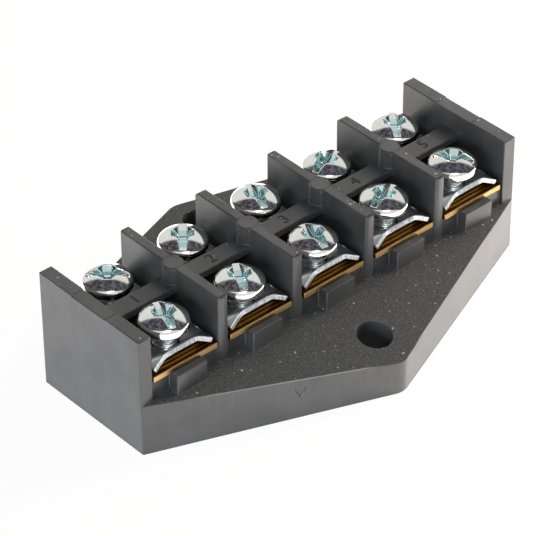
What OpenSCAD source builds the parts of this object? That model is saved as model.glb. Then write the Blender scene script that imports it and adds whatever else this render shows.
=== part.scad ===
// Barrier terminal strip: a moulded housing with one row of poles between upright barriers,
// and in each pole a terminal bar with a clamp and a screw at both ends.
// Origin at the middle of the underside, +X along the row of poles, +Z up. Front is -Y.

/* [Poles] */
// Number of poles
poles = 5; // [3:1:8]
// Distance from one pole to the next
pitch = 15; // [14:0.5:18]

/* [Housing] */
// Width of the strip across the barriers, front to back
strip_w = 23.2; // [23:0.1:26]
// Height of the barriers' tops above the underside
strip_h = 21.3; // [20.5:0.1:25]
// Thickness of the two end walls
end_wall_t = 2.4; // [2:0.1:4]
// Thickness of the inner barriers at the top
barrier_t = 1.8; // [1.4:0.1:2.2]
// Draft of the barriers' side faces, in degrees
draft_deg = 0.5; // [0:0.1:1]
// Rounding of the barriers' top corners
corner_r = 0.3; // [0.2:0.1:2]
// Chamfer of the barriers' upright front and back edges
upright_chamfer = 0.35; // [0.1:0.05:0.6]
// Chamfer of the barriers' top edges
top_chamfer = 0.15; // [0.05:0.05:0.4]
// Rounding of the back top corner of every second barrier
round_corner_r = 1.2; // [0.2:0.1:3]
// Height of the seat that the terminal bars lie on
seat_z = 12.3; // [11:0.1:13]
// Depth of the housing body under the bars, behind the barriers' fronts
body_setback = 0.6; // [0.2:0.1:1]

/* [Base flange] */
// Distance between the two apexes of the base, before rounding
base_w = 54.4; // [50:0.2:64]
// Radius of the rounded apexes
apex_r = 3; // [1:0.5:5]
// Height of the flange's top where it meets the strip
flange_h = 9.3; // [8:0.1:10]
// Fall of the flange's top for each millimetre outwards
flange_fall = 0.21; // [0.05:0.01:0.25]

/* [Mounting holes] */
// Diameter of the mounting holes
hole_d = 5.6; // [4:0.1:6.5]
// Distance between the mounting holes' centres
hole_spacing = 41; // [38:0.5:43]

/* [Rib] */
// Width of the rib that joins the barriers along the middle
rib_w = 3.5; // [2:0.1:4]
// Height of the rib's underside
rib_z = 16.85; // [15.5:0.05:17.5]
// Thickness of the rib
rib_t = 1.25; // [0.8:0.05:2]
// Diameter of the hubs where the rib crosses the barriers
hub_d = 3.4; // [2.4:0.1:4.5]

/* [Stop tabs] */
// Width of the tabs that stop the bars at both ends
tab_w = 5.8; // [3:0.1:8]
// Thickness of a tab in front of the bar's end
tab_t = 1.4; // [0.8:0.1:2]
// Height of a tab's top above the bar's seat
tab_rise = 0.3; // [0.1:0.05:0.8]

/* [Terminal bars] */
// Thickness of the bar
bar_t = 1; // [0.8:0.05:1.2]
// Clearance between the bar and the barrier on each side, at the seat
bar_side_gap = 0.3; // [0.1:0.05:1]
// Distance from the bar's end back to the barriers' fronts
bar_inset = 0.15; // [0:0.05:0.5]
// Number of grip grooves at each end of the bar
groove_n = 3; // [0:1:4]
// Distance between the grip grooves
groove_pitch = 0.8; // [0.6:0.05:1]
// Depth of the grip grooves
groove_depth = 0.2; // [0.1:0.05:0.3]

/* [Clamps] */
// Clearance between the clamp and the barrier on each side
clamp_side_gap = 0.7; // [0.4:0.1:1.5]
// Thickness of the clamp's sheet
clamp_t = 1; // [0.6:0.05:1.2]
// Distance from the clamp's outer edge back to the barriers' fronts
clamp_inset = 0.6; // [0.3:0.1:1]
// Distance from the middle plane of the strip to the clamp's inner edge
clamp_inner_y = 2.4; // [2:0.1:3.5]
// Rise of the lip over the wire entry
lip_rise = 1.55; // [0.8:0.05:2]
// Width of the lip's level top
lip_top_w = 5.7; // [3:0.1:7]
// Length of the lip's slope down to the plate
lip_run = 2.5; // [1.5:0.1:2.6]
// Clearance around the screw in the clamp's hole
clamp_hole_gap = 0.25; // [0.1:0.05:0.4]

/* [Screws] */
// Distance of the screws' axes from the middle plane of the strip
screw_y = 6.6; // [6:0.1:7]
// Diameter of the thread
thread_d = 3.9; // [3:0.1:4]
// Rise of the screw in one turn
thread_lead = 0.7; // [0.5:0.05:0.8]
// Length of the screw below its head
screw_len = 10; // [8:0.5:11]
// Diameter of the head
head_d = 8; // [6.5:0.1:8.2]
// Height of the head
head_h = 3.1; // [2.4:0.1:3.6]
// Height of the head's upright edge
head_edge_h = 1.4; // [0.8:0.1:2]
// Width of the driver slots
slot_w = 1.15; // [0.8:0.05:1.4]
// Depth of the long slot that runs across the whole head
slot_depth = 1.4; // [0.8:0.1:1.6]
// Length of the cross's arms, tip to tip
cross_len = 4.6; // [3.5:0.1:5.5]
// Depth of the cross
cross_depth = 2; // [1.6:0.1:2.2]
// Clearance around the thread in the bar
thread_gap = 0.05; // [0.02:0.01:0.1]
// Clearance around and under the screw in the housing
pocket_gap = 0.6; // [0.3:0.1:1]
// Turns that each front screw is backed out from its clamp
front_turns = [3.9, 3.1, 3.3, 3.7, 3.5]; // [0:0.1:4]
// Turns that each back screw is backed out from its clamp
back_turns = [3.6, 3.4, 4, 3.2, 3.4]; // [0:0.1:4]
// Angle of each front screw's long slot from the strip's length
front_slot_deg = [72, 60, 80, 18, 126]; // [0:1:180]
// Angle of each back screw's long slot from the strip's length
back_slot_deg = [140, 50, 72, 16, 54]; // [0:1:180]

/* [Hidden] */
$fn = 48;
front = -1;
back = 1;
sides = [front, back];
side_names = ["front", "back"];
// pole numbers and barrier numbers, counted along +X
pole_list = [1 : poles];
barrier_list = [1 : poles - 1];
// a margin by which cuts pass the faces they open
cut = 1;

strip_l = poles * pitch - barrier_t + 2 * end_wall_t;
body_w = strip_w - 2 * body_setback;
rib_top = rib_z + rib_t;

// the base's long edges run from the strip's corners to the apexes
apex_y = base_w / 2;
corner_x = strip_l / 2;
corner_y = strip_w / 2;
edge_deg = atan((apex_y - corner_y) / corner_x);
edge_len = norm([corner_x, apex_y - corner_y]);
// the apex rounding touches both edges at these points
apex_centre_y = apex_y - apex_r / cos(edge_deg);
touch_x = apex_r * sin(edge_deg);
touch_y = apex_centre_y + apex_r * cos(edge_deg);

// width between two barriers at the bars' seat
bay_w = pitch - barrier_t - 2 * (strip_h - seat_z) * tan(draft_deg);
bar_w = bay_w - 2 * bar_side_gap;
bar_end_y = corner_y - bar_inset;
bar_top = seat_z + bar_t;
tab_gap = 0.05;
tab_inner_y = bar_end_y + tab_gap;

clamp_w = bay_w - 2 * clamp_side_gap;
clamp_outer_y = corner_y - clamp_inset;
clamp_top = bar_top + clamp_t;
clamp_hole_d = thread_d + 2 * clamp_hole_gap;
thread_hole_d = thread_d + 2 * thread_gap;
pocket_d = thread_d + 2 * pocket_gap;
pocket_z = clamp_top - screw_len - pocket_gap;

// shallow field on the end walls' tops
field_l = 7.8;
field_depth = 0.15;
// arrow sunk in the flange's front left side
arrow_w = 2;
arrow_h = 2;
arrow_depth = 0.3;
arrow_share = 0.6;

function pole_x(p) = (p - (poles + 1) / 2) * pitch;
function barrier_x(b) = pole_x(b) + pitch / 2;
function turns(side, p) =
    let (list = side == front ? front_turns : back_turns) list[(p - 1) % len(list)];
function slot_deg(side, p) =
    let (list = side == front ? front_slot_deg : back_slot_deg) list[(p - 1) % len(list)];
function head_z(side, p) = clamp_top + turns(side, p) * thread_lead;

// Box centred on x = 0 and y = 0, from z0 up to z1.
module block(length, width, z0, z1) {
    translate([-length / 2, -width / 2, z0])
        cube([length, width, z1 - z0]);
}

// Outline of the base: a long diamond whose blunt ends are the strip's ends.
module base_outline() {
    polygon([
        [-corner_x, -corner_y], [-touch_x, -touch_y], [touch_x, -touch_y], [corner_x, -corner_y],
        [corner_x, corner_y], [touch_x, touch_y], [-touch_x, touch_y], [-corner_x, corner_y]
    ]);
    for (side = sides)
        translate([0, side * apex_centre_y])
            circle(r = apex_r);
}

// Cross-section of the base, as [y, z]: level under the strip, falling towards both apexes.
module base_section() {
    low_z = flange_h - flange_fall * (apex_y - corner_y);
    polygon([
        [-apex_y, 0], [apex_y, 0], [apex_y, low_z],
        [corner_y, flange_h], [-corner_y, flange_h], [-apex_y, low_z]
    ]);
}

module base() {
    intersection() {
        linear_extrude(flange_h) base_outline();
        rotate([90, 0, 90])
            linear_extrude(strip_l, center = true) base_section();
    }
}

// Half of a barrier's outline: from the middle plane to the front or the back, with a
// rounded top corner.
module half_outline(side, r) {
    mirror([side == front ? 1 : 0, 0]) {
        square([corner_y, strip_h - r]);
        square([corner_y - r, strip_h]);
        translate([corner_y - r, strip_h - r]) circle(r = r);
    }
}

// Wedge-shaped band that a barrier is trimmed to, so that it thickens downwards. Its top
// edges are chamfered.
module draft_band() {
    half_top = barrier_t / 2;
    half_low = half_top + strip_h * tan(draft_deg);
    flat = half_top - top_chamfer;
    side_z = strip_h - top_chamfer;
    rotate([90, 0, 0])
        linear_extrude(strip_w + 2 * cut, center = true)
            polygon([[-half_low, 0], [half_low, 0], [half_top, side_z],
                     [flat, strip_h], [-flat, strip_h], [-half_top, side_z]]);
}

// Upright prism that a barrier is trimmed to, with its front and back edges chamfered.
module upright_prism() {
    half_low = barrier_t / 2 + strip_h * tan(draft_deg);
    flat = barrier_t / 2 - upright_chamfer;
    end_y = corner_y - (half_low - flat);
    linear_extrude(strip_h)
        polygon([[-half_low, -end_y], [-flat, -corner_y], [flat, -corner_y], [half_low, -end_y],
                 [half_low, end_y], [flat, corner_y], [-flat, corner_y], [-half_low, end_y]]);
}

module barrier(b) {
    translate([barrier_x(b), 0, 0]) {
        intersection() {
            rotate([90, 0, 90])
                linear_extrude(2 * barrier_t, center = true) {
                    half_outline(front, corner_r);
                    half_outline(back, b % 2 == 0 ? round_corner_r : corner_r);
                }
            draft_band();
            upright_prism();
        }
        translate([0, 0, rib_z]) cylinder(d = hub_d, h = strip_h - rib_z);
    }
}

// Tab in front of one end of a bar. It holds the bar in and leaves its top clear.
module stop_tab(side) {
    foot_z = flange_h / 2;
    outer_y = tab_inner_y + tab_t;
    mirror([0, side == front ? 1 : 0, 0]) {
        translate([-tab_w / 2, tab_inner_y, foot_z])
            cube([tab_w, tab_t, seat_z + tab_rise - foot_z]);
        translate([-tab_w / 2, 0, foot_z])
            cube([tab_w, outer_y, seat_z - foot_z]);
    }
}

// Arrow in the side of the flange, pointing down.
module arrow_cut() {
    translate([-corner_x, -corner_y, flange_h / 2])
        rotate([0, 0, -edge_deg])
            translate([edge_len * arrow_share, 0, 0])
                rotate([90, 0, 0])
                    linear_extrude(2 * arrow_depth, center = true)
                        polygon([[-arrow_w / 2, arrow_h / 2], [arrow_w / 2, arrow_h / 2], [0, -arrow_h / 2]]);
}

module housing() {
    color([0.30, 0.31, 0.32])
        difference() {
            union() {
                base();
                block(strip_l, body_w, 0, seat_z);
                block(strip_l, rib_w, rib_z, rib_top);
                for (end = [-1, 1])
                    translate([end * (strip_l - end_wall_t) / 2, 0, 0])
                        block(end_wall_t, strip_w, 0, strip_h);
                for (b = barrier_list)
                    barrier(b);
                for (p = pole_list, side = sides)
                    translate([pole_x(p), 0, 0]) stop_tab(side);
            }
            for (side = sides)
                translate([0, side * hole_spacing / 2, -cut])
                    cylinder(d = hole_d, h = flange_h + 2 * cut);
            for (p = pole_list, side = sides)
                translate([pole_x(p), side * screw_y, pocket_z])
                    cylinder(d = pocket_d, h = seat_z - pocket_z + cut);
            for (end = [-1, 1])
                translate([end * strip_l / 2, 0, 0])
                    block(2 * end_wall_t, field_l, strip_h - field_depth, strip_h + cut);
            arrow_cut();
        }
}

// V-shaped grooves across one end of the bar's top.
module grip_grooves(side) {
    first_y = bar_end_y - groove_pitch;
    for (g = [0 : 1 : groove_n - 1])
        translate([0, side * (first_y - g * groove_pitch), bar_top])
            rotate([45, 0, 0])
                cube([bar_w + 2 * cut, groove_depth * sqrt(2), groove_depth * sqrt(2)], center = true);
}

module terminal_bar(p) {
    color([0.78, 0.60, 0.25])
        translate([pole_x(p), 0, 0])
            difference() {
                block(bar_w, 2 * bar_end_y, seat_z, bar_top);
                for (side = sides) {
                    translate([0, side * screw_y, seat_z - cut])
                        cylinder(d = thread_hole_d, h = bar_t + 2 * cut);
                    grip_grooves(side);
                }
            }
}

// The lip's swelling above the plate: level in the middle of the outer edge, and sloping
// down to both sides and inwards. Drawn for the back row, from y = clamp_outer_y inwards.
module lip_swelling(z) {
    slope_y = clamp_outer_y - lip_run;
    translate([0, 0, z])
        intersection() {
            translate([0, clamp_outer_y, 0])
                rotate([90, 0, 0])
                    linear_extrude(lip_run)
                        polygon([[-clamp_w / 2, 0], [clamp_w / 2, 0],
                                 [lip_top_w / 2, lip_rise], [-lip_top_w / 2, lip_rise]]);
            rotate([90, 0, 90])
                linear_extrude(clamp_w, center = true)
                    polygon([[slope_y, 0], [clamp_outer_y, 0], [clamp_outer_y, lip_rise]]);
        }
}

// Pressed sheet clamp that lies on the bar, with its lip over the wire entry.
module clamp(side, p) {
    color([0.72, 0.75, 0.78])
        translate([pole_x(p), 0, 0])
            mirror([0, side == front ? 1 : 0, 0])
                difference() {
                    union() {
                        translate([-clamp_w / 2, clamp_inner_y, bar_top])
                            cube([clamp_w, clamp_outer_y - clamp_inner_y, clamp_t]);
                        lip_swelling(clamp_top);
                    }
                    lip_swelling(bar_top);
                    translate([0, screw_y, bar_top - cut])
                        cylinder(d = clamp_hole_d, h = clamp_t + 2 * cut);
                }
}

// Pan head: an upright edge under a dome that meets it all round.
module pan_head() {
    dome_h = head_h - head_edge_h;
    dome_r = (head_d * head_d / 4 + dome_h * dome_h) / (2 * dome_h);
    intersection() {
        cylinder(d = head_d, h = head_h);
        translate([0, 0, head_h - dome_r]) sphere(r = dome_r);
    }
}

// Driver recess: a slot across the whole head, with a deeper cross in the middle.
module driver_recess() {
    translate([0, 0, head_h]) {
        block(head_d + cut, slot_w, -slot_depth, cut);
        block(cross_len, slot_w, -cross_depth, cut);
        block(slot_w, cross_len, -cross_depth, cut);
    }
}

module screw(side, p) {
    tip = thread_d / 8;
    color([0.80, 0.84, 0.88])
        translate([pole_x(p), side * screw_y, head_z(side, p)])
            rotate([0, 0, slot_deg(side, p)]) {
                difference() {
                    pan_head();
                    driver_recess();
                }
                translate([0, 0, tip - screw_len]) cylinder(d = thread_d, h = screw_len - tip);
                translate([0, 0, -screw_len]) cylinder(d1 = thread_d - 2 * tip, d2 = thread_d, h = tip);
            }
}

housing();
for (p = pole_list) {
    terminal_bar(p);
    for (s = [0, 1]) {
        clamp(sides[s], p);
        screw(sides[s], p);
    }
}
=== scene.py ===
"""Barrier terminal strip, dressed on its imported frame.

The file follows the strip as it is put together: the studio first, then the moulded housing
with its pole numbers, the brass bars, the pressed clamps and the screws. Lengths are in metres.
"""

import math

import bmesh
import bpy
import numpy as np
from mathutils import Matrix, Vector


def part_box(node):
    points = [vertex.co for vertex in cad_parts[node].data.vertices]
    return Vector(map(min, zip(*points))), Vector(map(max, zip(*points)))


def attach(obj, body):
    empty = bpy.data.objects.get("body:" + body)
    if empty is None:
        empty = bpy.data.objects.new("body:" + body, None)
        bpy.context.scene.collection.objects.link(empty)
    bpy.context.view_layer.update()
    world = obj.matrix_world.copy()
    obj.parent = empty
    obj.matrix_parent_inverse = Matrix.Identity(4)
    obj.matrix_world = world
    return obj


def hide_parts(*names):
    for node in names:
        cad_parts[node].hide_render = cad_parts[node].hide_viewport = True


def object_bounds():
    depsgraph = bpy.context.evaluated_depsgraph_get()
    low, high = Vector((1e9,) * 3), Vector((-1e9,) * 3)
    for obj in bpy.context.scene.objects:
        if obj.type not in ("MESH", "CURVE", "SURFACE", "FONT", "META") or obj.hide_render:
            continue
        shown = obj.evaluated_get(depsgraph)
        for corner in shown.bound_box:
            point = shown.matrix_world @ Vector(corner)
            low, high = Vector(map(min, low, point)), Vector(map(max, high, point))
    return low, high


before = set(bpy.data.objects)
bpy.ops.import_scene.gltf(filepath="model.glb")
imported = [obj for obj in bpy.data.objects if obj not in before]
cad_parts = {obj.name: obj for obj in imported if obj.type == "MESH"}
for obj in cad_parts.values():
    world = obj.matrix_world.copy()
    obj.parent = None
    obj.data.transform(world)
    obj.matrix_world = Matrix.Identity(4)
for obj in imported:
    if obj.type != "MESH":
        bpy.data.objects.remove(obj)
cad_bounds = [list(corner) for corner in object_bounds()]
MM = 0.001


# --- Camera -----------------------------------------------------------------------------------
# A long lens looks down on the strip from the front left, so that the near end wall, the row
# of clamps and the right side of the base all show.
CAMERA_PLACE = Vector((-249.64, -276.86, 292.09)) * MM
CAMERA_AIM = Vector((0.52898, 0.59485, -0.60526))
CAMERA_ROLL = math.radians(-0.42)
CAMERA_NEAR = 0.01
# focal length and sensor width are in millimetres
CAMERA_LENS = 200.8
CAMERA_SENSOR = 36

camera = bpy.data.objects.new("camera", bpy.data.cameras.new("camera"))
bpy.context.scene.collection.objects.link(camera)
camera.data.lens = CAMERA_LENS
camera.data.sensor_width = CAMERA_SENSOR
camera.data.clip_start = CAMERA_NEAR
turn = CAMERA_AIM.to_track_quat("-Z", "Y").to_matrix() @ Matrix.Rotation(CAMERA_ROLL, 3, "Z")
camera.matrix_world = Matrix.Translation(CAMERA_PLACE) @ turn.to_4x4()
bpy.context.scene.camera = camera


# --- Floor, world and lights --------------------------------------------------------------------
# A white table in a white room. A dark strip of ceiling runs from the left over the part to the
# right, and the bright metal mirrors it. Soft lights stand in front, and low on both sides.
def linear(hex_code):
    """Linear RGBA of a hex colour, by the sRGB curve."""
    channels = [int(hex_code[k:k + 2], 16) / 255 for k in (1, 3, 5)]
    return [c / 12.92 if c <= 0.04045 else ((c + 0.055) / 1.055) ** 2.4 for c in channels] + [1]


def add_node(tree, kind, inputs=None, **settings):
    """Adds a node with its settings. An input that is a socket is linked, any other is a value."""
    node = tree.nodes.new("ShaderNode" + kind)
    for name, value in settings.items():
        setattr(node, name, value)
    for name, value in (inputs or {}).items():
        if isinstance(value, bpy.types.NodeSocket):
            tree.links.new(value, node.inputs[name])
        else:
            node.inputs[name].default_value = value
    return node


def new_material(name):
    """An empty material and its node tree."""
    material = bpy.data.materials.new(name)
    material.use_nodes = True
    material.node_tree.nodes.clear()
    return material, material.node_tree


WHITE = linear("#ffffff")
TABLE_HALF = 3.0
# share of the table that the camera sees as plain white, the rest being paint in shadow
TABLE_CLEAN = 0.95
# painted light: metal and plastic mirror a glow on the table that only mirrors see, bright
# near the part and dim further out
TABLE_NEAR = 0.12
TABLE_FAR = 0.4
GLOW_NEAR_PART = 1.05
GLOW_FAR_OUT = 0.2
# the base's outline is a rectangle with a low gable on both long sides, and the table's painted
# glow fades from just outside it to a little way inside it, a painted shadow under the base
GABLE_SLOPE = 0.394
UNDERSIDE_INNER = 3 * MM
UNDERSIDE_OUTER = 1 * MM
half_length, half_width, strip_top = cad_bounds[1]

floor_mesh = bpy.data.meshes.new("floor")
corners = [(x * TABLE_HALF, y * TABLE_HALF, 0) for x, y in ((-1, -1), (1, -1), (1, 1), (-1, 1))]
floor_mesh.from_pydata(corners, [], [(0, 1, 2, 3)])
floor = bpy.data.objects.new("floor", floor_mesh)
bpy.context.scene.collection.objects.link(floor)

# matt white paint: a clean white ground that keeps a soft shadow at the part's foot
material, tree = new_material("white table")
matt = add_node(tree, "BsdfDiffuse", {"Color": linear("#f4f4f4")})
glow = add_node(tree, "Emission", {"Color": WHITE, "Strength": 1.0})
path = add_node(tree, "LightPath")
seen = add_node(tree, "Math", {0: path.outputs["Is Camera Ray"], 1: TABLE_CLEAN},
                operation="MULTIPLY")
blend = add_node(tree, "MixShader", {0: seen.outputs[0], 1: matt.outputs[0], 2: glow.outputs[0]})
place = add_node(tree, "TexCoord")
reach = add_node(tree, "VectorMath", {0: place.outputs["Object"]}, operation="LENGTH")
painted_glow = add_node(tree, "MapRange", {"Value": reach.outputs["Value"], "From Min": TABLE_NEAR,
                                  "From Max": TABLE_FAR, "To Min": GLOW_NEAR_PART, "To Max": GLOW_FAR_OUT})
# painted shadow: the glow is cut out under the part, so that its mounting holes stay dark
spot = add_node(tree, "SeparateXYZ", {0: place.outputs["Object"]})
off_x = add_node(tree, "Math", {0: spot.outputs["X"]}, operation="ABSOLUTE")
off_y = add_node(tree, "Math", {0: spot.outputs["Y"]}, operation="ABSOLUTE")
past_gable = add_node(tree, "Math", {0: off_x.outputs[0], 1: GABLE_SLOPE, 2: off_y.outputs[0]},
                      operation="MULTIPLY_ADD")
past_end = add_node(tree, "Math", {0: off_x.outputs[0], 1: half_width - half_length},
                    operation="ADD")
past_base = add_node(tree, "Math", {0: past_gable.outputs[0], 1: past_end.outputs[0]},
                     operation="MAXIMUM")
clear = add_node(tree, "MapRange", {"Value": past_base.outputs[0],
                                    "From Min": half_width - UNDERSIDE_INNER,
                                    "From Max": half_width + UNDERSIDE_OUTER})
glow_off_base = add_node(tree, "Math", {0: painted_glow.outputs[0], 1: clear.outputs[0]}, operation="MULTIPLY")
power = add_node(tree, "Math", {0: path.outputs["Is Glossy Ray"], 1: glow_off_base.outputs[0]},
                 operation="MULTIPLY")
mirrored_glow = add_node(tree, "Emission", {"Color": WHITE, "Strength": power.outputs[0]})
table = add_node(tree, "AddShader", {0: blend.outputs[0], 1: mirrored_glow.outputs[0]})
add_node(tree, "OutputMaterial", {"Surface": table.outputs[0]})
floor.data.materials.append(material)

# the dark strip is all directions within a band on both sides of the plane across this axis
CEILING_AXIS = (0.683, 0.683, 0.259)
CEILING_SHIFT = 0.12
CEILING_HALF_WIDTH = 0.38
CEILING_BLUR = 0.05

world = bpy.data.worlds.new("studio")
bpy.context.scene.world = world
world.use_nodes = True
tree = world.node_tree
tree.nodes.clear()
place = add_node(tree, "TexCoord")
along = add_node(tree, "VectorMath", {0: place.outputs["Generated"], 1: CEILING_AXIS},
                 operation="DOT_PRODUCT")
shifted = add_node(tree, "Math", {0: along.outputs["Value"], 1: CEILING_SHIFT},
                   operation="SUBTRACT")
off_strip = add_node(tree, "Math", {0: shifted.outputs[0]}, operation="ABSOLUTE")
room = add_node(tree, "MapRange", {"Value": off_strip.outputs[0],
                                   "From Min": CEILING_HALF_WIDTH - CEILING_BLUR,
                                   "From Max": CEILING_HALF_WIDTH + CEILING_BLUR},
                interpolation_type="SMOOTHSTEP")
lump = add_node(tree, "TexNoise", {"Vector": place.outputs["Generated"], "Scale": 7.0,
                                   "Detail": 2.0})
lumps = add_node(tree, "MapRange", {"Value": lump.outputs["Fac"], "From Min": 0.45,
                                    "From Max": 0.62})
clutter = add_node(tree, "MixRGB", {"Fac": lumps.outputs[0], "Color1": linear("#3a373b"),
                                    "Color2": linear("#75737f")})
strip = add_node(tree, "MixRGB", {"Fac": room.outputs[0], "Color1": clutter.outputs[0],
                                  "Color2": linear("#f2f2ee")})
# matt surfaces are lit by an even grey, mirrors show the room, and the camera sees white
path = add_node(tree, "LightPath")
shade = add_node(tree, "MixRGB", {"Fac": path.outputs["Is Glossy Ray"],
                                  "Color1": linear("#6c6d6e"), "Color2": strip.outputs[0]})
sky = add_node(tree, "MixRGB", {"Fac": path.outputs["Is Camera Ray"], "Color1": shade.outputs[0],
                                "Color2": WHITE})
backdrop = add_node(tree, "Background", {"Color": sky.outputs[0], "Strength": 1.0})
add_node(tree, "OutputWorld", {"Surface": backdrop.outputs[0]})

# name, place, size across and up (m), power (W), colour. Mirrors show only the front one.
SOFT_LIGHTS = [
    ("front", (-0.26, -0.52, 0.69), 0.34, 0.22, 1.9, "#fcfcff"),
    ("right", (0.20, -0.03, 0.10), 0.14, 0.1, 1.15, "#fff3e6"),
    ("left", (-0.48, -0.10, 0.15), 0.4, 0.2, 2.2, "#f8f9ff"),
]
LIGHTS_AIM = Vector((0, 0, 10 * MM))
for name, light_place, across, up, watts, tint in SOFT_LIGHTS:
    lamp = bpy.data.lights.new(name, "AREA")
    lamp.shape = "RECTANGLE"
    lamp.size = across
    lamp.size_y = up
    lamp.energy = watts
    lamp.color = linear(tint)[:3]
    light = bpy.data.objects.new(name, lamp)
    bpy.context.scene.collection.objects.link(light)
    light.visible_camera = False
    light.visible_glossy = name == "front"
    turn = (LIGHTS_AIM - Vector(light_place)).to_track_quat("-Z", "Y").to_matrix()
    light.matrix_world = Matrix.Translation(light_place) @ turn.to_4x4()

bpy.context.scene.view_settings.view_transform = "Standard"


# --- Housing --------------------------------------------------------------------------------------
# One injection moulding in dark grey thermoplastic. Its barriers come smooth from the tool, the
# top of its base has a spark-eroded texture, and every outer edge is slightly rounded.
HOUSING_EDGE = 0.14 * MM
# the eroded texture is on the base's top, below this height, and drawn coarse enough to show
TEXTURED_BELOW = 9.8 * MM
TEXTURE_GRAIN = 0.26 * MM
SMOOTH_GRAIN = 0.2 * MM
# the plastic's flow leaves soft clouds, and the draw of the tool leaves tall faint streaks
FLOW_CLOUD = 5.56 * MM
DRAW_ACROSS = 1.11 * MM
DRAW_TALL = 25 * MM
DUST_GRAIN = 0.5 * MM
# painted highlight: the base's rounded outline is painted pale from here outwards
EDGE_LIT_X = (3.5 * MM, 6 * MM)
EDGE_LIT_Y = (14 * MM, 16 * MM)
# a pin of the tool leaves a round line on each hub's top, midway between two bars
HUB_MARK_R = 1.58 * MM
HUB_LINE = (0.08 * MM, 0.16 * MM)
HUB_TOP = strip_top - 0.1 * MM
half_pitch = (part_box("terminal_bar_2")[0].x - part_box("terminal_bar_1")[0].x) / 2

# moulded polyamide: a dark, half glossy grey that greys over where it mirrors the white room,
# with faint clouds and streaks, a matt top on its base speckled with painted glints, and a
# painted highlight along the base's rounded outline
material, tree = new_material("moulded polyamide, dark grey")
place = add_node(tree, "TexCoord")
form = add_node(tree, "NewGeometry")
split = add_node(tree, "SeparateXYZ", {0: place.outputs["Object"]})
facing = add_node(tree, "SeparateXYZ", {0: form.outputs["Normal"]})
low = add_node(tree, "Math", {0: split.outputs["Z"], 1: TEXTURED_BELOW}, operation="LESS_THAN")
level = add_node(tree, "MapRange", {"Value": facing.outputs["Z"], "From Min": 0.6,
                                    "From Max": 0.9})
textured = add_node(tree, "Math", {0: low.outputs[0], 1: level.outputs[0]}, operation="MULTIPLY")
grain = add_node(tree, "TexNoise", {"Vector": place.outputs["Object"], "Scale": 1 / TEXTURE_GRAIN,
                                    "Detail": 3.0, "Roughness": 0.6})
# painted highlights: pale specks on the eroded top stand for the glints of its grain
glint_grain = add_node(tree, "MapRange", {"Value": grain.outputs["Fac"], "From Min": 0.46,
                                    "From Max": 0.68})
painted_glints = add_node(tree, "Math", {0: glint_grain.outputs[0], 1: textured.outputs[0]},
                  operation="MULTIPLY")
cloud = add_node(tree, "TexNoise", {"Vector": place.outputs["Object"], "Scale": 1 / FLOW_CLOUD,
                                    "Detail": 4.0})
drawn = add_node(tree, "Mapping", {"Vector": place.outputs["Object"],
                                   "Scale": (1 / DRAW_ACROSS, 1 / DRAW_ACROSS, 1 / DRAW_TALL)})
drag = add_node(tree, "TexNoise", {"Vector": drawn.outputs[0], "Scale": 1.0, "Detail": 2.0})
marbled = add_node(tree, "MixRGB", {"Fac": 0.22, "Color1": cloud.outputs["Fac"],
                                    "Color2": drag.outputs["Fac"]})
flow = add_node(tree, "MapRange", {"Value": marbled.outputs[0], "From Min": 0.34,
                                   "From Max": 0.66})
tone = add_node(tree, "MixRGB", {"Fac": flow.outputs[0], "Color1": linear("#313233"),
                                 "Color2": linear("#424344")})
dark = add_node(tree, "MixRGB", {"Fac": textured.outputs[0], "Color1": tone.outputs[0],
                                 "Color2": linear("#2a2b2c")})
colour = add_node(tree, "MixRGB", {"Fac": painted_glints.outputs[0], "Color1": dark.outputs[0],
                                   "Color2": linear("#4e504f")})
# painted highlight: only the rounded edges lean halfway, and of those only the base's
# outline is painted pale
rising = add_node(tree, "MapRange", {"Value": facing.outputs["Z"], "From Min": 0.3,
                                     "From Max": 0.5})
falling = add_node(tree, "MapRange", {"Value": facing.outputs["Z"], "From Min": 0.8,
                                      "From Max": 0.92, "To Min": 0.8, "To Max": 0.0})
leaning = add_node(tree, "Math", {0: rising.outputs[0], 1: falling.outputs[0]},
                   operation="MULTIPLY")
off_x = add_node(tree, "Math", {0: split.outputs["X"]}, operation="ABSOLUTE")
off_y = add_node(tree, "Math", {0: split.outputs["Y"]}, operation="ABSOLUTE")
out_x = add_node(tree, "MapRange", {"Value": off_x.outputs[0], "From Min": EDGE_LIT_X[0],
                                    "From Max": EDGE_LIT_X[1]})
out_y = add_node(tree, "MapRange", {"Value": off_y.outputs[0], "From Min": EDGE_LIT_Y[0],
                                    "From Max": EDGE_LIT_Y[1]})
outer = add_node(tree, "Math", {0: out_x.outputs[0], 1: out_y.outputs[0]}, operation="MULTIPLY")
painted_edge_light = add_node(tree, "Math", {0: leaning.outputs[0], 1: outer.outputs[0]},
                  operation="MULTIPLY")
edge_lit_colour = add_node(tree, "MixRGB", {"Fac": painted_edge_light.outputs[0], "Color1": colour.outputs[0],
                                  "Color2": linear("#8a8c8b")})
# a little dust lies on the level faces
dust = add_node(tree, "TexNoise", {"Vector": place.outputs["Object"], "Scale": 1 / DUST_GRAIN,
                                   "Detail": 0.0})
dusty = add_node(tree, "MapRange", {"Value": dust.outputs["Fac"], "From Min": 0.8,
                                    "From Max": 0.84, "To Max": 0.6})
settled = add_node(tree, "Math", {0: dusty.outputs[0], 1: level.outputs[0]},
                   operation="MULTIPLY")
powdered = add_node(tree, "MixRGB", {"Fac": settled.outputs[0], "Color1": edge_lit_colour.outputs[0],
                                     "Color2": linear("#b9bab8")})
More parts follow.
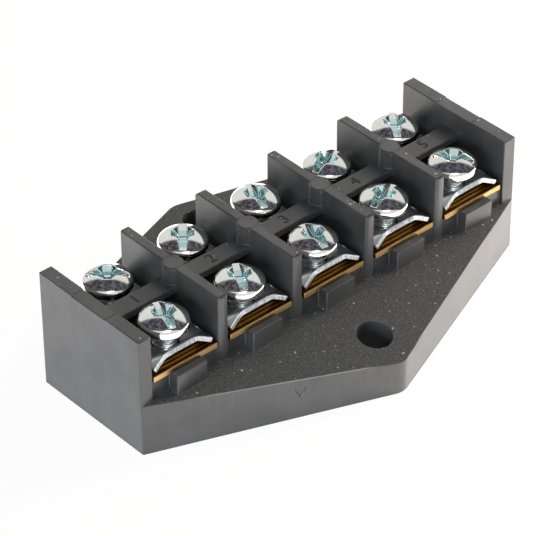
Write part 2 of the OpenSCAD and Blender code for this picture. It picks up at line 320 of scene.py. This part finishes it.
# the pins' round lines: the distance along X swings from 0 to half a pitch and back
swing = add_node(tree, "Math", {0: split.outputs["X"], 1: half_pitch}, operation="PINGPONG")
hub_x = add_node(tree, "Math", {0: swing.outputs[0], 1: half_pitch}, operation="SUBTRACT")
from_hub = add_node(tree, "CombineXYZ", {"X": hub_x.outputs[0], "Y": split.outputs["Y"]})
hub_r = add_node(tree, "VectorMath", {0: from_hub.outputs[0]}, operation="LENGTH")
off_ring = add_node(tree, "Math", {0: hub_r.outputs["Value"], 1: HUB_MARK_R},
                    operation="SUBTRACT")
ring = add_node(tree, "Math", {0: off_ring.outputs[0]}, operation="ABSOLUTE")
line = add_node(tree, "MapRange", {"Value": ring.outputs[0], "From Min": HUB_LINE[0],
                                   "From Max": HUB_LINE[1], "To Min": 1.0, "To Max": 0.0})
topmost = add_node(tree, "Math", {0: split.outputs["Z"], 1: HUB_TOP}, operation="GREATER_THAN")
mark = add_node(tree, "Math", {0: line.outputs[0], 1: topmost.outputs[0]}, operation="MULTIPLY")
marked = add_node(tree, "MixRGB", {"Fac": mark.outputs[0], "Color1": powdered.outputs[0],
                                   "Color2": linear("#232424")})
fine = add_node(tree, "TexNoise", {"Vector": place.outputs["Object"], "Scale": 1 / SMOOTH_GRAIN,
                                   "Detail": 2.0})
heights = add_node(tree, "MixRGB", {"Fac": textured.outputs[0], "Color1": fine.outputs["Fac"],
                                    "Color2": grain.outputs["Fac"]})
lift = add_node(tree, "MapRange", {"Value": textured.outputs[0], "To Min": 0.06, "To Max": 0.5})
bump = add_node(tree, "Bump", {"Height": heights.outputs[0], "Strength": lift.outputs[0],
                               "Distance": 0.06 * MM})
rough = add_node(tree, "MapRange", {"Value": textured.outputs[0], "To Min": 0.34, "To Max": 0.7})
plastic = add_node(tree, "BsdfPrincipled", {"Base Color": marked.outputs[0], "IOR": 1.58,
                                            "Roughness": rough.outputs[0],
                                            "Normal": bump.outputs[0]})
add_node(tree, "OutputMaterial", {"Surface": plastic.outputs[0]})
housing_plastic = material


def merged_copy(node, name):
    """A copy of a CAD node with its triangles joined, and flat faces made whole again."""
    mesh = bpy.data.meshes.new(name)
    work = bmesh.new()
    work.from_mesh(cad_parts[node].data)
    bmesh.ops.remove_doubles(work, verts=work.verts, dist=0.0005 * MM)
    bmesh.ops.dissolve_limit(work, angle_limit=math.radians(0.5), verts=work.verts,
                             edges=work.edges)
    work.to_mesh(mesh)
    work.free()
    piece = bpy.data.objects.new(name, mesh)
    bpy.context.scene.collection.objects.link(piece)
    return piece


def round_edges(piece, width):
    """Rounds the edges sharper than 50 degrees. Edges over 30 degrees stay crisp, and every
    other point is shaded by the larger faces around it, so that flat faces look flat."""
    piece.data.shade_smooth()
    piece.data.set_sharp_from_angle(angle=math.radians(30))
    bevel = piece.modifiers.new("rounded edges", "BEVEL")
    bevel.width = width
    bevel.segments = 2
    bevel.limit_method = "ANGLE"
    bevel.angle_limit = math.radians(50)
    bevel.use_clamp_overlap = False
    weighted = piece.modifiers.new("flat shading", "WEIGHTED_NORMAL")
    weighted.keep_sharp = True


housing = merged_copy("housing", "moulded_housing")
round_edges(housing, HOUSING_EDGE)
housing.data.materials.clear()
housing.data.materials.append(housing_plastic)
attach(housing, "housing")
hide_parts("housing")


# --- Pole numbers ---------------------------------------------------------------------------------
# Plain figures 1 to 5, one for each pole, in the housing's own plastic. The tool moulds them
# very slightly proud of the rib, midway between the barriers. Their colour is painted darker,
# as the shade that engraved figures hold.
FIGURE_SIZE = 3.0 * MM
FIGURE_RISE = 0.05 * MM
RIB_TOP = 18.1 * MM

# the same plastic from an engraved part of the tool: matt, and painted darker than the rib as
# the shade that engraved figures hold
material, tree = new_material("moulded figures, painted shade")
figure = add_node(tree, "BsdfPrincipled", {"Base Color": linear("#1d1e1e"), "Roughness": 0.6,
                                           "IOR": 1.53})
add_node(tree, "OutputMaterial", {"Surface": figure.outputs[0]})
shaded_figure_plastic = material

bar_names = [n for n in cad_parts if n.startswith("terminal_bar_")]
for name in bar_names:
    pole = name.rsplit("_", 1)[1]
    low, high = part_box(name)
    curve = bpy.data.curves.new("pole_number_" + pole, "FONT")
    curve.body = pole
    curve.size = FIGURE_SIZE
    curve.align_x = "CENTER"
    curve.align_y = "CENTER"
    curve.extrude = FIGURE_RISE
    flat = bpy.data.objects.new("flat_" + pole, curve)
    bpy.context.scene.collection.objects.link(flat)
    bpy.context.view_layer.update()
    mesh = bpy.data.meshes.new_from_object(flat)
    bpy.data.objects.remove(flat)
    mesh.name = "pole_number_" + pole
    mesh.transform(Matrix.Translation(((low.x + high.x) / 2, 0, RIB_TOP)))
    mesh.materials.clear()
    mesh.materials.append(shaded_figure_plastic)
    number = bpy.data.objects.new(mesh.name, mesh)
    bpy.context.scene.collection.objects.link(number)
    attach(number, "housing")


# --- Terminal bars --------------------------------------------------------------------------------
# Flat bars cut from rolled brass, held in the housing by the tabs. Their tops have three grip
# grooves at each end.
BAR_EDGE = 0.1 * MM
# the pale cut shows on each end face, painted paler still as the light those faces catch, and
# fades out over the last fifth of a millimetre
CUT_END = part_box(bar_names[0])[1].y - 0.1 * MM
# painted shade: the middle, under the rib and clamps, is painted near black, and this fades out
# between these distances from it
RIB_SHADE_FULL = 2.6 * MM
RIB_SHADE_GONE = 8 * MM
# rolling streaks: how long they are along the strip, and how far apart across and up
STREAK_LONG = 3.333 * MM
STREAK_ACROSS = 0.1667 * MM
STREAK_UP = 0.3333 * MM

# rolled brass: a brown tarnish with fine streaks and a soft shine, painted near black in the
# middle as the shade of the rib and clamps and darker as shade under the clamps' lips, and pale,
# brighter yellow where it was cut, painted paler still as the light the end faces catch
material, tree = new_material("rolled brass")
place = add_node(tree, "TexCoord")
split = add_node(tree, "SeparateXYZ", {0: place.outputs["Object"]})
off_middle = add_node(tree, "Math", {0: split.outputs["Y"]}, operation="ABSOLUTE")
cut_and_lit_end = add_node(tree, "MapRange", {"Value": off_middle.outputs[0], "From Min": CUT_END - 0.1 * MM,
                                   "From Max": CUT_END})
out_of_rib_shade = add_node(tree, "MapRange", {"Value": off_middle.outputs[0], "From Min": RIB_SHADE_FULL,
                                    "From Max": RIB_SHADE_GONE})
rolled = add_node(tree, "Mapping", {"Vector": place.outputs["Object"],
                                    "Scale": (1 / STREAK_LONG, 1 / STREAK_ACROSS, 1 / STREAK_UP)})
streak = add_node(tree, "TexNoise", {"Vector": rolled.outputs[0], "Scale": 1.0, "Detail": 3.0})
# the tarnish is partly painted shade: it is held dark for the shade under the clamps' lips
tarnish_and_shade = add_node(tree, "MixRGB", {"Fac": streak.outputs["Fac"], "Color1": linear("#5a3c10"),
                                    "Color2": linear("#8c6424")})
rib_shade = add_node(tree, "MixRGB", {"Fac": out_of_rib_shade.outputs[0], "Color1": linear("#1c1610"),
                                 "Color2": tarnish_and_shade.outputs[0]})
cut_and_lit = add_node(tree, "MixRGB", {"Fac": streak.outputs["Fac"], "Color1": linear("#a88344"),
                                "Color2": linear("#d6b884")})
colour = add_node(tree, "MixRGB", {"Fac": cut_and_lit_end.outputs[0], "Color1": rib_shade.outputs[0],
                                   "Color2": cut_and_lit.outputs[0]})
rough = add_node(tree, "MapRange", {"Value": cut_and_lit_end.outputs[0], "To Min": 0.3, "To Max": 0.42})
bump = add_node(tree, "Bump", {"Height": streak.outputs["Fac"], "Strength": 0.2,
                               "Distance": 0.02 * MM})
metal = add_node(tree, "BsdfPrincipled", {"Base Color": colour.outputs[0], "Metallic": 1.0,
                                          "Roughness": rough.outputs[0],
                                          "Normal": bump.outputs[0]})
add_node(tree, "OutputMaterial", {"Surface": metal.outputs[0]})
rolled_brass = material

for name in bar_names:
    bar = merged_copy(name, "brass_" + name)
    round_edges(bar, BAR_EDGE)
    bar.data.materials.clear()
    bar.data.materials.append(rolled_brass)
    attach(bar, "housing")
    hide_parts(name)


# --- Clamps ---------------------------------------------------------------------------------------
# Pressed from steel sheet and zinc plated. Each lies flat on its bar, and its outer lip is
# raised in the middle as a funnel for the wire. The sheared edges are matt and slightly rounded.
SHEET_T = 0.85 * MM
SHEET_EDGE = 0.13 * MM
LIP_RISE = 1.7 * MM
LIP_TOP_W = 5.7 * MM
LIP_RUN = 2.5 * MM
# how far a raised point is pulled inwards, as a share of its height
LIP_PULL = 0.34
BEND = 0.18 * MM
CLAMP_CORNER_R = 0.12 * MM
CLAMP_HOLE_R = 2.2 * MM
CLAMP_RINGS = 36
PLATING_CLOUD = 2 * MM
# shearing leaves lines through the sheet's thickness, this far apart and this long
SHEAR_APART = 0.2 * MM
SHEAR_LONG = 3.333 * MM

# zinc plate on sheet: a cool light grey with a blurred mirror, slightly uneven
material, tree = new_material("zinc plated sheet steel")
place = add_node(tree, "TexCoord")
mottle = add_node(tree, "TexNoise", {"Vector": place.outputs["Object"],
                                     "Scale": 1 / PLATING_CLOUD, "Detail": 3.0})
colour = add_node(tree, "MixRGB", {"Fac": mottle.outputs["Fac"], "Color1": linear("#c4c9cc"),
                                   "Color2": linear("#dde0e2")})
rough = add_node(tree, "MapRange", {"Value": mottle.outputs["Fac"], "To Min": 0.26,
                                    "To Max": 0.38})
metal = add_node(tree, "BsdfPrincipled", {"Base Color": colour.outputs[0], "Metallic": 1.0,
                                          "Roughness": rough.outputs[0]})
add_node(tree, "OutputMaterial", {"Surface": metal.outputs[0]})
zinc_sheet = material

# zinc plate on a sheared edge: the same metal made matt and lined, so it stays evenly pale
material, tree = new_material("zinc plated sheared edge")
place = add_node(tree, "TexCoord")
shear = add_node(tree, "Mapping", {"Vector": place.outputs["Object"],
                                   "Scale": (1 / SHEAR_APART, 1 / SHEAR_LONG, 1 / SHEAR_LONG)})
streak = add_node(tree, "TexNoise", {"Vector": shear.outputs[0], "Scale": 1.0, "Detail": 2.0})
torn = add_node(tree, "MapRange", {"Value": streak.outputs["Fac"], "From Min": 0.38,
                                   "From Max": 0.62})
colour = add_node(tree, "MixRGB", {"Fac": torn.outputs[0], "Color1": linear("#979b9f"),
                                   "Color2": linear("#cfd2d4")})
bump = add_node(tree, "Bump", {"Height": streak.outputs["Fac"], "Strength": 0.3,
                               "Distance": 0.03 * MM})
metal = add_node(tree, "BsdfPrincipled", {"Base Color": colour.outputs[0], "Metallic": 1.0,
                                          "Roughness": 0.42, "Normal": bump.outputs[0]})
add_node(tree, "OutputMaterial", {"Surface": metal.outputs[0]})
sheared_zinc = material


def smooth_min(a, b, k):
    """The lower of a and b, with the corner between them rounded over a height of about k:
    minus k times the logarithm of the sum of both exponentials of minus the value over k."""
    return -k * np.log(np.exp(-a / k) + np.exp(-b / k))


def lip_height(x, inward, half_w):
    """How far the sheet rises above its plate: a flat-topped ramp across x that fades inwards.
    It is the lowest of the flanks, the slope and the level top, and never under the plate."""
    flank = (half_w - np.abs(x)) * LIP_RISE / (half_w - LIP_TOP_W / 2)
    slope = LIP_RISE * (1 - inward / LIP_RUN)
    height = smooth_min(smooth_min(flank, slope, BEND), LIP_RISE + 0 * x, BEND / 2)
    above_plate = BEND * np.log1p(np.exp(height / BEND))
    return above_plate - BEND * np.log(2) * np.exp(-np.abs(height) / BEND)


def rounded_rectangle(x0, x1, y0, y1, radius, step):
    """Points round a rectangle with rounded corners, anticlockwise, about step apart: four
    quarter circles of five points, with straight runs of points between them."""
    corners = [(x1, y1, 0), (x0, y1, 90), (x0, y0, 180), (x1, y0, 270)]
    arcs = []
    for corner_x, corner_y, start in corners:
        angle = np.radians(np.linspace(start, start + 90, 5))
        x = np.clip(corner_x, x0 + radius, x1 - radius) + radius * np.cos(angle)
        y = np.clip(corner_y, y0 + radius, y1 - radius) + radius * np.sin(angle)
        arcs.append(np.stack([x, y], axis=1))
    points = []
    for arc, following in zip(arcs, arcs[1:] + arcs[:1]):
        count = max(2, int(np.linalg.norm(following[0] - arc[-1]) / step))
        share = np.linspace(0, 1, count + 1)[1:-1, None]
        points += [arc, arc[-1] * (1 - share) + following[0] * share]
    return np.concatenate(points)


def clamp_mesh(name, low, high, side):
    """Top of the sheet: rings from the outer edge in to the screw's hole. A raised point moves
    inwards by a share of its height, because the sheet is bent and not stretched."""
    y0, y1 = sorted([abs(low.y), abs(high.y)])
    x_mid = (low.x + high.x) / 2
    half_w = (high.x - low.x) / 2
    outer = rounded_rectangle(-half_w, half_w, y0, y1, CLAMP_CORNER_R, 0.2 * MM)
    ray = np.array([0, screw_axis_y]) - outer
    reach = np.linalg.norm(ray, axis=1, keepdims=True)
    share = np.linspace(0, 1, CLAMP_RINGS)[:, None, None]
    x, y = np.moveaxis(outer + ray * share * (1 - CLAMP_HOLE_R / reach), -1, 0)
    height = lip_height(x, y1 - y, half_w)
    rings = np.stack([x + x_mid, side * (y - LIP_PULL * height), low.z + SHEET_T + height],
                     axis=-1)
    index = np.arange(x.size).reshape(x.shape)
    following = np.roll(index, -1, axis=1)
    quads = np.stack([index[:-1], following[:-1], following[1:], index[1:]], axis=-1)
    quads = quads.reshape(-1, 4)
    if side < 0:
        quads = quads[:, ::-1]
    mesh = bpy.data.meshes.new(name)
    mesh.from_pydata(rings.reshape(-1, 3), [], quads.tolist())
    mesh.shade_smooth()
    return mesh


def add_piece(mesh, body, node):
    """A piece from a mesh, riding on a body in place of a CAD node."""
    piece = bpy.data.objects.new(mesh.name, mesh)
    bpy.context.scene.collection.objects.link(piece)
    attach(piece, body)
    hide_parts(node)
    return piece


screw_low, screw_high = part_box("screw_back_1")
screw_axis_y = (screw_low.y + screw_high.y) / 2
for name in [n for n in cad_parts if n.startswith("clamp_")]:
    low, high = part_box(name)
    mesh = clamp_mesh("pressed_" + name, low, high, 1 if "back" in name else -1)
    mesh.materials.append(zinc_sheet)
    mesh.materials.append(sheared_zinc)
    clamp = add_piece(mesh, name, name)
    sheet = clamp.modifiers.new("sheet thickness", "SOLIDIFY")
    sheet.thickness = SHEET_T
    sheet.offset = -1
    sheet.use_even_offset = True
    sheet.material_offset_rim = 1
    edges = clamp.modifiers.new("rounded sheared edges", "BEVEL")
    edges.width = SHEET_EDGE
    edges.segments = 3
    edges.limit_method = "ANGLE"
    edges.angle_limit = math.radians(60)
    edges.harden_normals = True
    # the roundings are plated as bright as the faces
    edges.material = 0
    edges.use_clamp_overlap = False


# --- Screws ---------------------------------------------------------------------------------------
# M4 pan head screws, cold headed, thread rolled, and zinc plated with a blue passivation that
# gathers in the recess. The head has a slot from rim to rim across a cross recess.
PASSIVATION_MOTTLE = 1.111 * MM
# head: a dome on an upright edge, with a round shoulder between them and a round lower rim
HEAD_R = 4.0 * MM
HEAD_H = 3.1 * MM
HEAD_EDGE_H = 1.4 * MM
HEAD_ROUND = 0.4 * MM
SHOULDER_R = 1.0 * MM
DOME_R = (HEAD_R ** 2 + (HEAD_H - HEAD_EDGE_H) ** 2) / (2 * (HEAD_H - HEAD_EDGE_H))
# slot, cross and notches: widths and depths, where each starts to rise, and how steeply
SLOT_W = 1.15 * MM
SLOT_DEPTH = 2.25 * MM
SLOT_RISE = 0.31
CROSS_W = 1.1 * MM
CROSS_DEPTH = 2.0 * MM
CROSS_LOW = 0.95 * MM
CROSS_LEAN = 1.9
WALL_LEAN = 7.0
NOTCH_DEPTH = 1.15 * MM
NOTCH_W = 0.3 * MM
NOTCH_LOW = 1.0 * MM
NOTCH_LEAN = 1.3
NOTCH_WALL_LEAN = 2.2
# the passivation gathers within this radius, above this height and this deep under the dome
RECESS_R = 2.2 * MM
RECESS_LOW = 0.5 * MM
RECESS_SKIN = 0.06 * MM
# half the width of the square grid that holds the recess
CORE = 2.5 * MM
# thread
THREAD_R = 1.95 * MM
THREAD_DEPTH = 0.34 * MM
THREAD_LEAD = 0.7 * MM
SCREW_LEN = 10.0 * MM
TIP_LONG = 1.0 * MM
TIP_SHARE = 0.72
# angle of each screw's slot from the strip's length, in degrees, poles 1 to 5
SLOT_TURNS = {"front": (72, 60, 80, 18, 126), "back": (140, 50, 72, 16, 54)}


def passivated_zinc(name, low_colour, high_colour, roughness, relief):
    """Zinc plate with a mottled passivation between two colours, and a faint uneven relief."""
    material, tree = new_material(name)
    place = add_node(tree, "TexCoord")
    mottle = add_node(tree, "TexNoise", {"Vector": place.outputs["Object"],
                                         "Scale": 1 / PASSIVATION_MOTTLE, "Detail": 4.0})
    colour = add_node(tree, "MixRGB", {"Fac": mottle.outputs["Fac"],
                                       "Color1": linear(low_colour),
                                       "Color2": linear(high_colour)})
    rough = add_node(tree, "MapRange", {"Value": mottle.outputs["Fac"],
                                        "To Min": roughness - 0.05, "To Max": roughness + 0.05})
    bump = add_node(tree, "Bump", {"Height": mottle.outputs["Fac"], "Strength": relief,
                                   "Distance": 0.03 * MM})
    metal = add_node(tree, "BsdfPrincipled", {"Base Color": colour.outputs[0], "Metallic": 1.0,
                                              "Roughness": rough.outputs[0],
                                              "Normal": bump.outputs[0]})
    add_node(tree, "OutputMaterial", {"Surface": metal.outputs[0]})
    return material


# the dome mirrors the room almost sharply, the thicker film in the recess turns it pale teal,
# and the rolled thread is bluish and duller
bright_zinc = passivated_zinc("passivated zinc", "#d8dad8", "#ecedea", 0.12, 0.15)
teal_zinc = passivated_zinc("passivated zinc in the recess", "#a9cbcf", "#dbe9ea", 0.16, 0.15)
thread_zinc = passivated_zinc("passivated zinc on the thread", "#c3ced3", "#dde5e8", 0.28, 0.0)


def head_dome(x, y):
    """Height of the head's dome over (x, y), without its recess: a part of a sphere."""
    return HEAD_H - DOME_R + np.sqrt(DOME_R ** 2 - x ** 2 - y ** 2)


def head_top(x, y):
    """Height of the head over (x, y): the dome, cut by a slot along x whose floor rises to both
    ends, by a cross whose arms lean inwards, and by a narrow notch between each two arms.
    The walls rise at a fixed lean."""
    slot_wall = WALL_LEAN * np.maximum(0, np.abs(y) - SLOT_W / 2)
    slot = HEAD_H - SLOT_DEPTH + SLOT_RISE * np.abs(x) + slot_wall
    height = np.minimum(head_dome(x, y), slot)
    for along, across in ((np.abs(x), np.abs(y)), (np.abs(y), np.abs(x))):
        wall = np.maximum(WALL_LEAN * (across - CROSS_W / 2), CROSS_LEAN * (along - CROSS_LOW))
        height = np.minimum(height, HEAD_H - CROSS_DEPTH + np.maximum(0, wall))
    along = (np.abs(x) + np.abs(y)) / math.sqrt(2)
    across = np.abs(np.abs(x) - np.abs(y)) / math.sqrt(2)
    notch = np.maximum(NOTCH_WALL_LEAN * (across - NOTCH_W / 2),
                       NOTCH_LEAN * (along - NOTCH_LOW))
    return np.minimum(height, HEAD_H - NOTCH_DEPTH + np.maximum(0, notch))


def core_lines():
    """Places of the grid lines over the core, close together at the recess's walls."""
    walls = [SLOT_W / 2 + step * MM for step in (-0.05, 0, 0.04, 0.09, 0.14, 0.2)]
    half = np.array([0, 0.2 * MM, 0.38 * MM, *walls, *np.linspace(0.88 * MM, CORE, 20)])
    return np.concatenate([-half[:0:-1], half])


def head_mesh():
    """The head as (points, faces): a square grid in the middle, then rings out to the rim,
    round it and back under the head. Ring points stay level with the slot's walls."""
    lines = core_lines()
    n = len(lines)
    x, y = np.meshgrid(lines, lines, indexing="ij")
    core = np.stack([x, y, head_top(x, y)], axis=-1).reshape(-1, 3)
    index = np.arange(n * n).reshape(n, n)
    faces = np.stack([index[:-1, :-1], index[1:, :-1], index[1:, 1:], index[:-1, 1:]], axis=-1)
    faces = [faces.reshape(-1, 4)]
    # the core's boundary, anticlockwise from its lower right corner, and each point's
    # place on the rim: level with it near the slot, and spread to 45 degrees at the corners
    loop = np.concatenate([index[-1, :-1], index[:0:-1, -1], index[0, :0:-1], index[:-1, 0]])
    share = lines[:-1] / CORE
    near = np.arcsin(CORE * share / HEAD_R)
    spread = np.clip((np.abs(share) - 0.4) / 0.6, 0, 1)
    spread = spread * spread * (3 - 2 * spread)
    quarter = near + np.sign(share) * (math.pi / 4 - math.asin(CORE / HEAD_R)) * spread
    angle = np.concatenate([quarter + k * math.pi / 2 for k in range(4)])
    rim = np.stack([np.cos(angle), np.sin(angle)], axis=1)
    around = len(loop)
    # the shoulder's arc touches the dome's sphere from inside, so it starts at the dome's slope
    centre_r = HEAD_R - SHOULDER_R
    centre_z = HEAD_H - DOME_R + math.sqrt((DOME_R - SHOULDER_R) ** 2 - centre_r ** 2)
    dome_slope = math.asin(centre_r / (DOME_R - SHOULDER_R))
    rim_r = DOME_R * math.sin(dome_slope)
    rings = []
    for outwards in np.linspace(0, 1, 12)[1:]:
        xy = core[loop, :2] * (1 - outwards) + rim * rim_r * outwards
        rings.append(np.column_stack([xy, head_top(xy[:, 0], xy[:, 1])]))
    # shoulder, lower rim and underside are (radius, height) pairs all round
    shoulder = [(centre_r + SHOULDER_R * math.sin(a), centre_z + SHOULDER_R * math.cos(a))
                for a in np.linspace(dome_slope, math.pi / 2, 7)[1:]]
    lower_rim = [(HEAD_R - HEAD_ROUND * (1 - math.cos(a)), HEAD_ROUND * (1 - math.sin(a)))
                 for a in np.radians([0, 30, 60, 90])]
    underside = [(THREAD_R, 0), (0.5 * MM, 0)]
    for r, z in shoulder + lower_rim + underside:
        rings.append(np.column_stack([rim * r, np.full(around, z)]))
    ring_index = [loop] + [n * n + k * around + np.arange(around) for k in range(len(rings))]
    for a, b in zip(ring_index[:-1], ring_index[1:]):
        faces.append(np.stack([a, b, np.roll(b, -1), np.roll(a, -1)], axis=-1))
    last = ring_index[-1]
    middle = np.full(around, n * n + len(rings) * around)
    fan = np.stack([np.roll(last, -1), last, middle], axis=-1)
    points = np.concatenate([core, *rings, [[0, 0, 0]]])
    return points, np.concatenate(faces).tolist() + fan.tolist()


def thread_mesh(first):
    """The shank as (points, faces), its points numbered from first: its radius waves with
    height less the lead times the angle, and falls to a blunt cone at the tip."""
    around = 48
    angle = np.linspace(0, 2 * math.pi, around, endpoint=False)
    heights = np.arange(0.3 * MM, -SCREW_LEN, -THREAD_LEAD / 12)
    z, a = np.meshgrid(heights, angle, indexing="ij")
    groove = 0.5 + 0.5 * np.cos(2 * math.pi * z / THREAD_LEAD - a)
    tip = np.clip((z + SCREW_LEN) / TIP_LONG, 0, 1)
    r = (THREAD_R - THREAD_DEPTH * groove) * (TIP_SHARE + (1 - TIP_SHARE) * tip)
    points = np.stack([r * np.cos(a), r * np.sin(a), z], axis=-1).reshape(-1, 3)
    index = first + np.arange(z.size).reshape(z.shape)
    upper, lower = index[:-1], index[1:]
    quads = np.stack([upper, lower, np.roll(lower, -1, axis=1), np.roll(upper, -1, axis=1)],
                     axis=-1)
    ends = [index[0].tolist(), index[-1][::-1].tolist()]
    return points, quads.reshape(-1, 4).tolist() + ends


def screw_mesh(name):
    """Head and shank in one mesh, upright over the origin, with the slot along x."""
    head_points, head_faces = head_mesh()
    shank_points, shank_faces = thread_mesh(len(head_points))
    mesh = bpy.data.meshes.new(name)
    mesh.from_pydata(np.concatenate([head_points, shank_points]), [], head_faces + shank_faces)
    mesh.shade_smooth()
    work = bmesh.new()
    work.from_mesh(mesh)
    bmesh.ops.recalc_face_normals(work, faces=work.faces)
    work.to_mesh(mesh)
    work.free()
    for finish in (bright_zinc, teal_zinc, thread_zinc):
        mesh.materials.append(finish)
    centres = np.empty(len(mesh.polygons) * 3)
    mesh.polygons.foreach_get("center", centres)
    x, y, z = centres.reshape(-1, 3).T
    recess = (np.hypot(x, y) < RECESS_R) & (RECESS_LOW < z) & (z < head_dome(x, y) - RECESS_SKIN)
    shank = np.arange(len(z)) >= len(head_faces)
    mesh.polygons.foreach_set("material_index", np.where(recess, 1, np.where(shank, 2, 0)))
    return mesh


for side, turns in SLOT_TURNS.items():
    for pole, slot_turn in enumerate(turns, start=1):
        name = f"screw_{side}_{pole}"
        low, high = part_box(name)
        head_base = Vector(((low.x + high.x) / 2, (low.y + high.y) / 2, low.z + SCREW_LEN))
        turned = Matrix.Rotation(math.radians(slot_turn), 4, "Z")
        mesh = screw_mesh("pan_head_" + name)
        mesh.transform(Matrix.Translation(head_base) @ turned)
        add_piece(mesh, name, name)
